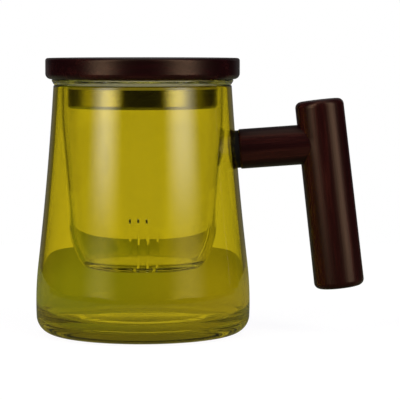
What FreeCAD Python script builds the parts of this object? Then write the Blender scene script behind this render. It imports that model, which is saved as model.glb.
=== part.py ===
import FreeCAD, Part
import math
import os
import Sketcher

# Lidded glass tea mug with an infuser.
# A flared amber glass mug carries a wooden handle on a glass peg. A clear glass infuser with
# sawn slits hangs by its lip in the mouth, and a turned wooden lid with a steel-cased plug
# closes it. Millimetres, +Z up. The origin is where the mug's axis meets the table, and +X
# points to the handle.

SIZES = [
    # mug
    ("mug_height", 112.2, "table to the mug's rim"),
    ("mouth_radius", 40.2, "outer radius at the rim"),
    ("glass_wall", 2.2, "thickness of the mug's wall"),
    ("wall_bow_radius", 1450.0, "slight inward bow of the tall wall"),
    ("belly_radius", 48.45, "widest radius, low on the mug"),
    ("belly_height", 14.2, "height of the widest place"),
    ("belly_bow_radius", 150.0, "bow of the wall round the widest place"),
    ("heel_radius", 8.1, "rounding between the wall and the foot"),
    ("floor_height", 7.9, "inner floor at the axis"),
    ("floor_dome_radius", 300.0, "dome of the inner floor"),
    ("inner_corner_radius", 8.0, "rounding between the inner floor and the wall"),
    ("pushup_radius", 27.0, "inner edge of the foot ring"),
    ("pushup_height", 2.6, "rise of the hollow under the foot"),
    ("pushup_round", 2.5, "rounding of the foot ring's inner edge"),
    ("rim_round", 0.8, "fire-polished rounding of the rim"),
    # handle
    ("handle_height", 83.1, "height at which the arm meets the wall"),
    ("arm_tilt", 4.07, "rise of the arm away from the wall, degrees"),
    ("peg_radius", 6.0, "glass peg drawn out of the wall"),
    ("peg_length", 15.0, "wall to the end of the peg"),
    ("peg_root_round", 0.8, "rounding between the peg and the wall"),
    ("peg_round", 1.0, "rounding of the peg's end"),
    ("glue_gap", 0.1, "room for glue round pegs, dowels and in mortises"),
    ("washer_thickness", 1.3, "wall to the arm's end face"),
    ("washer_radius", 8.5, "outer radius of the washer"),
    ("arm_radius", 9.0, "radius of the arm"),
    ("arm_round", 1.0, "rounding of the arm's end at the washer"),
    ("handle_reach", 39.6, "wall to the grip's axis, along the arm"),
    ("mortise_seat", 5.0, "grip's axis to the floor of its mortise"),
    ("grip_tilt", 6.6, "lean of the grip, degrees"),
    ("grip_above", 19.6, "grip's length above the arm's axis"),
    ("grip_below", 65.7, "grip's length below the arm's axis"),
    ("grip_top_radius", 11.0, "radius at the grip's top"),
    ("grip_foot_radius", 11.35, "radius at the grip's lower end"),
    ("grip_round", 2.8, "rounding of the grip's ends"),
    ("dowel_radius", 4.0, "dowel that pins the arm to the grip"),
    ("dowel_in_arm", 12.0, "dowel's length inside the arm"),
    ("dowel_in_grip", 8.0, "dowel's length inside the grip"),
    ("dowel_bevel", 0.6, "bevel on the dowel's ends"),
    # infuser
    ("lip_thickness", 2.6, "thickness of the lip that sits on the rim"),
    ("lip_radius", 41.4, "lip's radius at its top"),
    ("lip_seat_radius", 39.9, "lip's radius where it sits on the rim"),
    ("lip_round", 0.6, "rounding of the lip's edges"),
    ("lip_throat", 2.0, "rounding between the lip and the inside"),
    ("infuser_wall", 2.0, "thickness of the infuser's side"),
    ("neck_clearance", 0.4, "room between the neck and the mug's mouth"),
    ("neck_depth", 11.0, "upright part of the neck below the rim"),
    ("shoulder_radius", 120.0, "bow between the neck and the tapered side"),
    ("basket_taper", 4.9, "lean of the tapered side, degrees"),
    ("basket_depth", 82.9, "rim to the infuser's underside"),
    ("basket_floor", 3.2, "thickness of the infuser's floor"),
    ("basket_bow_radius", 40.0, "bow below the tapered side"),
    ("basket_corner_radius", 6.0, "rounding round the infuser's underside"),
    ("basket_foot_radius", 23.3, "radius of the flat underside"),
    ("basket_inner_corner", 3.5, "rounding round the infuser's inner floor"),
    ("slit_width", 1.0, "width of a sawn slit"),
    ("slit_pitch", 4.1, "spacing of the slits in a group"),
    ("slit_top", 22.0, "top end of a slit above the underside"),
    ("slit_foot_radius", 21.5, "inner end of a slit on the underside"),
    ("blade_radius", 30.0, "radius of the blade that cuts a slit"),
    ("slit_turn", 5.6, "turn of the slit groups about the axis, degrees"),
    ("slit_groups", 4, "groups of slits round the infuser"),
    # lid
    ("lid_thickness", 9.5, "thickness of the wooden disc"),
    ("lid_radius", 43.85, "radius of the wooden disc"),
    ("lid_top_round", 1.2, "rounding of the disc's top edge"),
    ("lid_under_round", 2.6, "rounding of the disc's lower edge"),
    ("plug_depth", 13.0, "underside of the disc to the end of the plug"),
    ("plug_radius", 34.0, "outer radius of the steel cup"),
    ("cup_height", 8.6, "height of the steel cup"),
    ("cup_wall", 0.6, "sheet thickness of the steel cup"),
    ("cup_round", 1.4, "pressed rounding of the cup's lower edge"),
    ("seal_clearance", 0.3, "room between the seal's lips and the infuser"),
    ("seal_ledge", 0.4, "how far the seal's body stands out past the cup"),
    ("seal_lip", 0.9, "thickness of one of the seal's lips"),
]

SLITS_IN_GROUP = 3
SEAL_LIPS = 2
NEAR = 0.01

# Places that several pieces share, written in terms of the sheet.
NECK_RADIUS = "(sizes.mouth_radius - sizes.glass_wall - sizes.neck_clearance)"
LIP_TOP = "(sizes.mug_height + sizes.lip_thickness)"
UNDERSIDE = "(sizes.mug_height - sizes.basket_depth)"
PLUG_END = "(" + LIP_TOP + " - sizes.plug_depth)"
CUP_INSIDE = "(sizes.plug_radius - sizes.cup_wall)"
CORE_RADIUS = "(" + CUP_INSIDE + " - sizes.glue_gap)"
CUP_RIM = "(" + PLUG_END + " + sizes.cup_height)"
PEG_BORE = "(sizes.peg_radius + sizes.glue_gap)"
WASHER_BORE = "(sizes.peg_radius + sizes.peg_root_round + sizes.glue_gap)"
DOWEL_BORE = "(sizes.dowel_radius + sizes.glue_gap)"
ARM_END = "(sizes.handle_reach - sizes.mortise_seat)"
HANDLE_ROOT = "(mug_outline.Constraints.handle_root / 1 mm)"

doc = FreeCAD.newDocument("tea_mug")
sheet = doc.addObject("Spreadsheet::Sheet", "sizes")
for row, (alias, value, meaning) in enumerate(SIZES, start=1):
    sheet.set("A%d" % row, meaning)
    sheet.set("B%d" % row, str(value))
    sheet.setAlias("B%d" % row, alias)
doc.recompute()


def number(expression):
    """The value of an expression in the sheet's sizes."""
    return float(sheet.evalExpression(expression))


def size(alias):
    """The value of one size."""
    return number("sizes." + alias)


def point(x, y):
    return FreeCAD.Vector(x, y, 0)


def toward(start, end, distance):
    """The point at a distance from start on the way to end."""
    return start + (end - start).normalize() * distance


def meeting(centre_a, radius_a, centre_b, radius_b):
    """Where two circles cross, on the side with the larger x."""
    way = centre_b - centre_a
    along = (radius_a ** 2 - radius_b ** 2 + way.Length ** 2) / (2 * way.Length)
    aside = math.sqrt(radius_a ** 2 - along ** 2)
    foot = toward(centre_a, centre_b, along)
    square = point(-way.y, way.x).normalize() * aside
    return max(foot + square, foot - square, key=lambda crossing: crossing.x)


def origin_feature(body, role):
    """One of a body's own planes or axes."""
    return next(item for item in body.Origin.OriginFeatures if item.Role == role)


def new_body(label):
    body = doc.addObject("PartDesign::Body", label)
    body.Label = label
    return body


class Outline:
    """A sketch on a body's plane, drawn edge by edge and tied to the sheet.

    In an upright plane x is the radius and y the height. An edge is named by its number, and
    joined to the edge before it at its first end.
    """

    def __init__(self, body, name, plane="XZ_Plane"):
        self.sketch = body.newObject("Sketcher::SketchObject", name)
        self.sketch.AttachmentSupport = (origin_feature(body, plane), [""])
        self.sketch.MapMode = "FlatFace"
        self.edges = []

    def line(self, start, end):
        edge = self.sketch.addGeometry(Part.LineSegment(start, end))
        self.edges.append((edge, 1, 2))
        return edge

    def arc(self, start, end, centre):
        """The shorter arc from start to end round centre."""
        first = math.atan2(start.y - centre.y, start.x - centre.x)
        last = math.atan2(end.y - centre.y, end.x - centre.x)
        turn = (last - first + math.pi) % math.tau - math.pi
        circle = Part.Circle(centre, FreeCAD.Vector(0, 0, 1), (start - centre).Length)
        if turn > 0:
            edge = self.sketch.addGeometry(Part.ArcOfCircle(circle, first, last))
            self.edges.append((edge, 1, 2))
        else:
            edge = self.sketch.addGeometry(Part.ArcOfCircle(circle, last, first))
            self.edges.append((edge, 2, 1))
        return edge

    def circle(self, radius, expression):
        """A whole circle round the sketch's origin."""
        edge = self.sketch.addGeometry(Part.Circle(point(0, 0), FreeCAD.Vector(0, 0, 1), radius))
        self.sketch.addConstraint(Sketcher.Constraint("Coincident", edge, 3, -1, 1))
        self.radius(edge, expression)

    def join(self, smooth=()):
        """Close the outline; the edges in smooth run on from the edge before without a corner."""
        before = self.edges[-1]
        for edge in self.edges:
            kind = "Tangent" if edge[0] in smooth else "Coincident"
            self.sketch.addConstraint(Sketcher.Constraint(kind, before[0], before[2], edge[0], edge[1]))
            before = edge

    def ends(self, edge):
        return next(item[1:] for item in self.edges if item[0] == edge)

    def tie(self, constraint, expression):
        at = self.sketch.addConstraint(constraint)
        self.sketch.setExpression("Constraints[%d]" % at, expression)

    def away(self, kind, edge, end, expression):
        """Hold an end's distance from the origin along x (DistanceX) or y (DistanceY)."""
        value = number(expression)
        if value >= 0:
            self.tie(Sketcher.Constraint(kind, -1, 1, edge, end, value), expression)
        else:
            self.tie(Sketcher.Constraint(kind, edge, end, -1, 1, -value), "-" + expression)

    def across(self, edge, end, expression):
        self.away("DistanceX", edge, end, expression)

    def up(self, edge, end, expression):
        self.away("DistanceY", edge, end, expression)

    def radius(self, edge, expression):
        self.tie(Sketcher.Constraint("Radius", edge, number(expression)), expression)

    def on_axis(self, edge, end):
        self.sketch.addConstraint(Sketcher.Constraint("PointOnObject", edge, end, -2))

    def on_table(self, edge, end):
        self.sketch.addConstraint(Sketcher.Constraint("PointOnObject", edge, end, -1))

    def level(self, edge):
        self.sketch.addConstraint(Sketcher.Constraint("Horizontal", edge))

    def upright(self, edge):
        self.sketch.addConstraint(Sketcher.Constraint("Vertical", edge))

    def same_centre(self, edge, other):
        self.sketch.addConstraint(Sketcher.Constraint("Coincident", edge, 3, other, 3))

    def beside(self, edge, other):
        self.sketch.addConstraint(Sketcher.Constraint("Parallel", edge, other))

    def measure(self, kind, edge, end, name):
        """A named reading of a place that the other sizes settle."""
        place = self.sketch.getPoint(edge, end)
        reading = place.x if kind == "DistanceX" else place.y
        at = self.sketch.addConstraint(Sketcher.Constraint(kind, -1, 1, edge, end, reading))
        self.sketch.setDriving(at, False)
        self.sketch.renameConstraint(at, name)


def stepped(body, name, corners):
    """A closed outline of straight, level and upright edges through corners given as expressions."""
    outline = Outline(body, name)
    places = [point(number(x), number(y)) for x, y in corners]
    for start, end in zip(places, places[1:] + places[:1]):
        outline.line(start, end)
    outline.join()
    for (x, y), (edge, first, last) in zip(corners, outline.edges):
        if number(x) == 0:
            outline.on_axis(edge, first)
        else:
            outline.across(edge, first, x)
        outline.up(edge, first, y)
    return outline.sketch


def revolve(body, sketch, name):
    """Turn a sketch all the way round its upright axis."""
    feature = body.newObject("PartDesign::Revolution", name)
    feature.Profile = sketch
    feature.ReferenceAxis = (sketch, ["V_Axis"])
    feature.Angle = 360
    doc.recompute()
    return feature


def extrude(body, kind, sketch, name, length, backwards=False):
    """A Pad or Pocket of a sketch, its length tied to the sheet."""
    feature = body.newObject("PartDesign::" + kind, name)
    feature.Profile = sketch
    feature.Length = number(length)
    feature.setExpression("Length", length)
    feature.Reversed = backwards
    doc.recompute()
    return feature


def rings(feature, radius, height):
    """The feature's round edges of one radius at one height on the body's axis."""
    names = []
    for order, edge in enumerate(feature.Shape.Edges, start=1):
        if edge.Degenerated or not isinstance(edge.Curve, Part.Circle):
            continue
        wide = abs(edge.Curve.Radius - number(radius)) < NEAR
        level = abs(edge.Curve.Center.z - number(height)) < NEAR
        if wide and level:
            names.append("Edge%d" % order)
    return names


def soften(body, feature, name, edges, expression, kind="Fillet"):
    """Round (Fillet) or bevel (Chamfer) edges by a size in the sheet."""
    softened = body.newObject("PartDesign::" + kind, name)
    softened.Base = (feature, edges)
    amount = "Radius" if kind == "Fillet" else "Size"
    setattr(softened, amount, number(expression))
    softened.setExpression(amount, expression)
    doc.recompute()
    return softened


def sketch_across_arm(body, name, distance):
    """A sketch square to the handle's arm, at a distance from the wall along the arm.

    The sketch's own x is the body's Y, and its centre lies on the arm's axis.
    """
    outline = Outline(body, name, "YZ_Plane")
    sketch = outline.sketch
    turn = FreeCAD.Rotation(FreeCAD.Vector(-1, 0, 0), size("arm_tilt"))
    sketch.AttachmentOffset = FreeCAD.Placement(FreeCAD.Vector(0, 0, 0), turn)
    out = HANDLE_ROOT + " + (" + distance + ") * cos(sizes.arm_tilt)"
    rise = "sizes.handle_height + (" + distance + ") * sin(sizes.arm_tilt)"
    sketch.setExpression("AttachmentOffset.Base.z", out)
    sketch.setExpression("AttachmentOffset.Base.y", rise)
    sketch.setExpression("AttachmentOffset.Rotation.Angle", "sizes.arm_tilt")
    return outline


def place_on_arm(body, distance):
    """Lay a body's own Z axis along the arm, its origin at a distance from the wall."""
    turn = FreeCAD.Rotation(FreeCAD.Vector(0, 1, 0), 90 - size("arm_tilt"))
    body.Placement = FreeCAD.Placement(FreeCAD.Vector(0, 0, 0), turn)
    body.setExpression("Placement.Base.x", HANDLE_ROOT + " + " + distance + " * cos(sizes.arm_tilt)")
    body.setExpression("Placement.Base.z", "sizes.handle_height + " + distance + " * sin(sizes.arm_tilt)")
    body.setExpression("Placement.Rotation.Angle", "90 - sizes.arm_tilt")


def make_mug():
    """The blown glass mug: bowed wall, rounded heel, hollow foot, and the peg for the handle."""
    body = new_body("mug_body")
    outline = Outline(body, "mug_outline", "YZ_Plane")

    rim = point(size("mouth_radius"), size("mug_height"))
    inner_rim = point(number("sizes.mouth_radius - sizes.glass_wall"), size("mug_height"))
    belly_bow = size("belly_bow_radius")
    belly_centre = point(size("belly_radius") - belly_bow, size("belly_height"))
    wall_bow = size("wall_bow_radius")
    wall_centre = meeting(rim, wall_bow, belly_centre, wall_bow + belly_bow)
    belly_top = toward(belly_centre, wall_centre, belly_bow)
    heel = size("heel_radius")
    heel_reach = math.sqrt((belly_bow - heel) ** 2 - (belly_centre.y - heel) ** 2)
    heel_centre = point(belly_centre.x + heel_reach, heel)
    heel_top = toward(belly_centre, heel_centre, belly_bow)
    foot = point(heel_centre.x, 0)
    hollow = point(size("pushup_radius"), 0)
    hollow_top = point(0, size("pushup_height"))
    hollow_radius = (hollow.x ** 2 + hollow_top.y ** 2) / (2 * hollow_top.y)
    hollow_centre = point(0, hollow_top.y - hollow_radius)
    floor_top = point(0, size("floor_height"))
    floor_dome = size("floor_dome_radius")
    floor_centre = point(0, floor_top.y - floor_dome)
    inner_bow = (wall_centre - belly_centre).Length - (inner_rim - wall_centre).Length
    inner_top = toward(belly_centre, wall_centre, inner_bow)
    corner = size("inner_corner_radius")
    corner_centre = meeting(belly_centre, inner_bow - corner, floor_centre, floor_dome + corner)
    corner_top = toward(belly_centre, corner_centre, inner_bow)
    corner_foot = toward(floor_centre, corner_centre, floor_dome)

    wall = outline.arc(rim, belly_top, wall_centre)
    belly = outline.arc(belly_top, heel_top, belly_centre)
    heel_edge = outline.arc(heel_top, foot, heel_centre)
    foot_ring = outline.line(foot, hollow)
    hollow_edge = outline.arc(hollow, hollow_top, hollow_centre)
    axis = outline.line(hollow_top, floor_top)
    floor = outline.arc(floor_top, corner_foot, floor_centre)
    corner_edge = outline.arc(corner_foot, corner_top, corner_centre)
    inner_belly = outline.arc(corner_top, inner_top, belly_centre)
    inner_wall = outline.arc(inner_top, inner_rim, wall_centre)
    rim_edge = outline.line(inner_rim, rim)
    outline.join(smooth=(belly, heel_edge, foot_ring, corner_edge, inner_belly, inner_wall))

    outline.across(wall, outline.ends(wall)[0], "sizes.mouth_radius")
    outline.up(wall, outline.ends(wall)[0], "sizes.mug_height")
    outline.radius(wall, "sizes.wall_bow_radius")
    outline.radius(belly, "sizes.belly_bow_radius")
    outline.up(belly, 3, "sizes.belly_height")
    outline.across(belly, 3, "(sizes.belly_radius - sizes.belly_bow_radius)")
    outline.radius(heel_edge, "sizes.heel_radius")
    outline.level(foot_ring)
    outline.on_table(foot_ring, 2)
    outline.across(hollow_edge, outline.ends(hollow_edge)[0], "sizes.pushup_radius")
    outline.on_axis(hollow_edge, outline.ends(hollow_edge)[1])
    outline.up(hollow_edge, outline.ends(hollow_edge)[1], "sizes.pushup_height")
    outline.on_axis(hollow_edge, 3)
    outline.upright(axis)
    outline.up(axis, 2, "sizes.floor_height")
    outline.on_axis(floor, 3)
    outline.radius(floor, "sizes.floor_dome_radius")
    outline.radius(corner_edge, "sizes.inner_corner_radius")
    outline.same_centre(inner_belly, belly)
    outline.same_centre(inner_wall, wall)
    outline.level(rim_edge)
    outline.across(rim_edge, 1, "sizes.mouth_radius - sizes.glass_wall")

    mark = outline.sketch.addGeometry(Part.Point(point(size("mouth_radius"), size("handle_height"))), True)
    outline.sketch.addConstraint(Sketcher.Constraint("PointOnObject", mark, 1, wall))
    outline.up(mark, 1, "sizes.handle_height")
    outline.sketch.solve()
    outline.measure("DistanceX", mark, 1, "handle_root")
    outline.measure("DistanceX", wall, 3, "wall_centre_out")
    outline.measure("DistanceY", wall, 3, "wall_centre_up")

    shell = revolve(body, outline.sketch, "mug_shell")
    inner = rings(shell, "sizes.mouth_radius - sizes.glass_wall", "sizes.mug_height")
    outer = rings(shell, "sizes.mouth_radius", "sizes.mug_height")
    rim_feature = soften(body, shell, "mug_rim", inner + outer, "sizes.rim_round")
    hollow_rings = rings(rim_feature, "sizes.pushup_radius", "0")
    soften(body, rim_feature, "mug_hollow", hollow_rings, "sizes.pushup_round")

    peg = sketch_across_arm(body, "peg_circle", "-sizes.glass_wall / 2")
    peg.circle(size("peg_radius"), "sizes.peg_radius")
    peg_feature = extrude(body, "Pad", peg.sketch, "peg", "sizes.peg_length + sizes.glass_wall / 2")
    halfway = number(HANDLE_ROOT) + size("peg_length") / 2
    ends = [name for name, edge in around_peg(peg_feature) if edge.BoundBox.XMin > halfway]
    peg_end = soften(body, peg_feature, "peg_end", ends, "sizes.peg_round")
    roots = [name for name, edge in around_peg(peg_end) if edge.BoundBox.XMax < halfway]
    soften(body, peg_end, "peg_root", roots, "sizes.peg_root_round")
    return body


def around_peg(feature):
    """The edges that run round the glass peg, each with its name."""
    found = []
    for order, edge in enumerate(feature.Shape.Edges, start=1):
        box = edge.BoundBox
        if box.YLength > NEAR and box.XMin > number(HANDLE_ROOT) - size("peg_radius"):
            found.append(("Edge%d" % order, edge))
    return found


def make_washer():
    """The dark washer between the wall and the arm, hollowed to the wall's curve."""
    body = new_body("handle_washer")
    ring = sketch_across_arm(body, "washer_circles", "sizes.washer_thickness")
    ring.circle(size("washer_radius"), "sizes.washer_radius")
    ring.circle(number(WASHER_BORE), WASHER_BORE)
    depth = "sizes.washer_thickness + sizes.washer_radius / 2"
    extrude(body, "Pad", ring.sketch, "washer_blank", depth, backwards=True)

    outline = Outline(body, "wall_copy", "YZ_Plane")
    reach = 2 * size("washer_radius")
    centre_x = "(mug_outline.Constraints.wall_centre_out / 1 mm)"
    centre_y = "(mug_outline.Constraints.wall_centre_up / 1 mm)"
    centre = point(number(centre_x), number(centre_y))
    middle = point(number(HANDLE_ROOT), size("handle_height"))
    bow = size("wall_bow_radius")
    high = wall_point(centre, bow, middle.y + reach)
    low = wall_point(centre, bow, middle.y - reach)
    inside = middle.x / 2
    curve = outline.arc(high, low, centre)
    under = outline.line(low, point(inside, low.y))
    back = outline.line(point(inside, low.y), point(inside, high.y))
    over = outline.line(point(inside, high.y), high)
    outline.join()
    outline.across(curve, 3, centre_x)
    outline.up(curve, 3, centre_y)
    outline.radius(curve, "sizes.wall_bow_radius")
    outline.level(under)
    outline.upright(back)
    outline.level(over)
    outline.up(under, 1, "sizes.handle_height - 2 * sizes.washer_radius")
    outline.up(over, 1, "sizes.handle_height + 2 * sizes.washer_radius")
    outline.across(back, 1, HANDLE_ROOT + " / 2")

    groove = body.newObject("PartDesign::Groove", "washer_saddle")
    groove.Profile = outline.sketch
    groove.ReferenceAxis = (outline.sketch, ["V_Axis"])
    groove.Angle = 360
    doc.recompute()
    return body


def wall_point(centre, bow, height):
    """The point of the mug's outer wall at a height."""
    return point(centre.x - math.sqrt(bow ** 2 - (height - centre.y) ** 2), height)


def make_arm():
    """The wooden arm, bored for the glass peg at one end and for the dowel at the other."""
    body = new_body("handle_arm")
    place_on_arm(body, "0")
    start = Outline(body, "arm_circle", "XY_Plane")
    start.sketch.setExpression("AttachmentOffset.Base.z", "sizes.washer_thickness")
    start.circle(size("arm_radius"), "sizes.arm_radius")
    rod = extrude(body, "Pad", start.sketch, "arm_rod", ARM_END + " - sizes.washer_thickness")
    near_end = rings(rod, "sizes.arm_radius", "sizes.washer_thickness")
    soften(body, rod, "arm_edge", near_end, "sizes.arm_round")

    peg_hole = Outline(body, "peg_hole_circle", "XY_Plane")
    peg_hole.circle(number(PEG_BORE), PEG_BORE)
    extrude(body, "Pocket", peg_hole.sketch, "peg_hole", "sizes.peg_length + sizes.glue_gap", backwards=True)

    dowel_hole = Outline(body, "dowel_hole_circle", "XY_Plane")
    dowel_hole.sketch.setExpression("AttachmentOffset.Base.z", ARM_END)
    dowel_hole.circle(number(DOWEL_BORE), DOWEL_BORE)
    extrude(body, "Pocket", dowel_hole.sketch, "dowel_hole", "sizes.dowel_in_arm + sizes.glue_gap")
    return body


def make_dowel():
    """The beech dowel hidden in the arm and the grip."""
    body = new_body("handle_dowel")
    place_on_arm(body, "(" + ARM_END + " - sizes.dowel_in_arm)")
    circle = Outline(body, "dowel_circle", "XY_Plane")
    circle.circle(size("dowel_radius"), "sizes.dowel_radius")
    length = "sizes.dowel_in_arm + sizes.dowel_in_grip"
    rod = extrude(body, "Pad", circle.sketch, "dowel_rod", length)
    ends = rings(rod, "sizes.dowel_radius", "0") + rings(rod, "sizes.dowel_radius", length)
    soften(body, rod, "dowel_ends", ends, "sizes.dowel_bevel", "Chamfer")
    return body


def make_grip():
    """The turned wooden grip, slightly thicker at the foot, with the arm's mortise in its side."""
    body = new_body("handle_grip")
    turn = FreeCAD.Rotation(FreeCAD.Vector(0, -1, 0), size("grip_tilt"))
    body.Placement = FreeCAD.Placement(FreeCAD.Vector(0, 0, 0), turn)
    out = HANDLE_ROOT + " + sizes.handle_reach * cos(sizes.arm_tilt)"
    rise = "sizes.handle_height + sizes.handle_reach * sin(sizes.arm_tilt)"
    body.setExpression("Placement.Base.x", out)
    body.setExpression("Placement.Base.z", rise)
    body.setExpression("Placement.Rotation.Angle", "sizes.grip_tilt")

    outline = stepped(body, "grip_outline", [
        ("0", "-sizes.grip_below"),
        ("sizes.grip_foot_radius", "-sizes.grip_below"),
        ("sizes.grip_top_radius", "sizes.grip_above"),
        ("0", "sizes.grip_above"),
    ])
    bar = revolve(body, outline, "grip_bar")
    foot = rings(bar, "sizes.grip_foot_radius", "-sizes.grip_below")
    top = rings(bar, "sizes.grip_top_radius", "sizes.grip_above")
    soften(body, bar, "grip_ends", foot + top, "sizes.grip_round")

    for name, radius, length, backwards in (
        ("mortise", "sizes.arm_radius + sizes.glue_gap", "2 * sizes.grip_foot_radius", False),
        ("pin_hole", DOWEL_BORE, "sizes.dowel_in_grip + sizes.glue_gap", True),
    ):
        hole = Outline(body, name + "_circle", "YZ_Plane")
        lean = FreeCAD.Rotation(FreeCAD.Vector(1, 0, 0), 1)
        hole.sketch.AttachmentOffset = FreeCAD.Placement(FreeCAD.Vector(0, 0, 0), lean)
        hole.sketch.setExpression("AttachmentOffset.Rotation.Angle", "sizes.grip_tilt - sizes.arm_tilt")
        seat = "-sizes.mortise_seat * cos(sizes.grip_tilt - sizes.arm_tilt)"
        drop = "sizes.mortise_seat * sin(sizes.grip_tilt - sizes.arm_tilt)"
        hole.sketch.setExpression("AttachmentOffset.Base.z", seat)
        hole.sketch.setExpression("AttachmentOffset.Base.y", drop)
        hole.circle(number(radius), radius)
        extrude(body, "Pocket", hole.sketch, name, length, backwards)
    return body


def make_infuser():
    """The glass infuser: a lip, an upright neck, a tapered side, a rounded foot and sawn slits."""
    body = new_body("infuser_glass")
    outline = Outline(body, "infuser_outline")
    taper = math.radians(size("basket_taper"))
    outward = point(math.cos(taper), -math.sin(taper))
    downward = point(-math.sin(taper), -math.cos(taper))
    wall = size("infuser_wall")
    neck = number(NECK_RADIUS)
    seat = size("mug_height")
    lip_top = number(LIP_TOP)
    underside = number(UNDERSIDE)

    shoulder = size("shoulder_radius")
    shoulder_centre = point(neck - shoulder, seat - size("neck_depth"))
    bow = size("basket_bow_radius")
    corner = size("basket_corner_radius")
    corner_centre = point(size("basket_foot_radius"), underside + corner)
    # The bow's centre runs down a line beside the tapered side until the corner just touches it.
    side_start = shoulder_centre + outward * (shoulder - bow)
    to_corner = corner_centre - side_start
    along = to_corner.dot(downward)
    aside = to_corner.dot(outward)
    bow_centre = side_start + downward * (along - math.sqrt((bow - corner) ** 2 - aside ** 2))

    inner_corner = size("basket_inner_corner")
    inner_floor = underside + size("basket_floor")
    inner_way = bow - wall - inner_corner
    inner_drop = bow_centre.y - inner_floor - inner_corner
    inner_centre = bow_centre + point(math.sqrt(inner_way ** 2 - inner_drop ** 2), -inner_drop)

    def side(depth, turn, rounding, level):
        """The outline's places at a depth below the outer skin, with a corner and a floor of its own."""
        return {
            "shoulder_top": shoulder_centre + point(shoulder - depth, 0),
            "side_top": shoulder_centre + outward * (shoulder - depth),
            "side_foot": bow_centre + outward * (bow - depth),
            "corner_top": toward(bow_centre, turn, bow - depth),
            "corner_foot": turn + point(0, -rounding),
            "middle": point(0, level),
        }

    skin = side(0, corner_centre, corner, underside)
    lining = side(wall, inner_centre, inner_corner, inner_floor)
    lip_edge = outline.line(point(size("lip_radius"), lip_top), point(size("lip_seat_radius"), seat))
    lip_under = outline.line(point(size("lip_seat_radius"), seat), point(neck, seat))
    outer = [
        outline.line(point(neck, seat), skin["shoulder_top"]),
        outline.arc(skin["shoulder_top"], skin["side_top"], shoulder_centre),
        outline.line(skin["side_top"], skin["side_foot"]),
        outline.arc(skin["side_foot"], skin["corner_top"], bow_centre),
        outline.arc(skin["corner_top"], skin["corner_foot"], corner_centre),
        outline.line(skin["corner_foot"], skin["middle"]),
    ]
    axis = outline.line(skin["middle"], lining["middle"])
    inner = [
        outline.line(lining["middle"], lining["corner_foot"]),
        outline.arc(lining["corner_foot"], lining["corner_top"], inner_centre),
        outline.arc(lining["corner_top"], lining["side_foot"], bow_centre),
        outline.line(lining["side_foot"], lining["side_top"]),
        outline.arc(lining["side_top"], lining["shoulder_top"], shoulder_centre),
        outline.line(lining["shoulder_top"], point(neck - wall, lip_top)),
    ]
    lip_face = outline.line(point(neck - wall, lip_top), point(size("lip_radius"), lip_top))
    outline.join(smooth=outer[1:] + inner[1:])

    outline.across(lip_edge, 1, "sizes.lip_radius")
    outline.up(lip_edge, 1, LIP_TOP)
    outline.across(lip_edge, 2, "sizes.lip_seat_radius")
    outline.up(lip_edge, 2, "sizes.mug_height")
    outline.level(lip_under)
    outline.upright(outer[0])
    outline.across(outer[0], 1, NECK_RADIUS)
    outline.up(outer[1], 3, "sizes.mug_height - sizes.neck_depth")
    outline.radius(outer[1], "sizes.shoulder_radius")
    lean = Sketcher.Constraint("Angle", outer[2], 2, -2, 1, taper)
    outline.tie(lean, "sizes.basket_taper * 1 deg")
    outline.radius(outer[3], "sizes.basket_bow_radius")
    outline.radius(outer[4], "sizes.basket_corner_radius")
    outline.across(outer[4], 3, "sizes.basket_foot_radius")
    outline.level(outer[5])
    outline.on_axis(outer[5], 2)
    outline.up(outer[5], 2, UNDERSIDE)
    outline.upright(axis)
    outline.up(axis, 2, UNDERSIDE + " + sizes.basket_floor")
    outline.level(inner[0])
    outline.radius(inner[1], "sizes.basket_inner_corner")
    outline.same_centre(inner[2], outer[3])
    outline.beside(inner[3], outer[2])
    outline.same_centre(inner[4], outer[1])
    outline.upright(inner[5])
    outline.across(inner[5], 2, "(" + NECK_RADIUS + " - sizes.infuser_wall)")
    outline.level(lip_face)

    shell = revolve(body, outline.sketch, "infuser_shell")
    lip_rings = rings(shell, "sizes.lip_radius", LIP_TOP)
    lip_rings += rings(shell, "sizes.lip_seat_radius", "sizes.mug_height")
    lip_rings += rings(shell, NECK_RADIUS, "sizes.mug_height")
    lip = soften(body, shell, "lip_edges", lip_rings, "sizes.lip_round")
    throat_ring = rings(lip, NECK_RADIUS + " - sizes.infuser_wall", LIP_TOP)
    soften(body, lip, "lip_throat_round", throat_ring, "sizes.lip_throat")

    cuts = [saw_slit(body, place) for place in range(SLITS_IN_GROUP)]
    groups = body.newObject("PartDesign::PolarPattern", "slit_ring")
    groups.Originals = cuts
    groups.Axis = (origin_feature(body, "Z_Axis"), [""])
    groups.Angle = 360
    groups.Occurrences = int(size("slit_groups"))
    body.Tip = groups
    doc.recompute()
    return body


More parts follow.
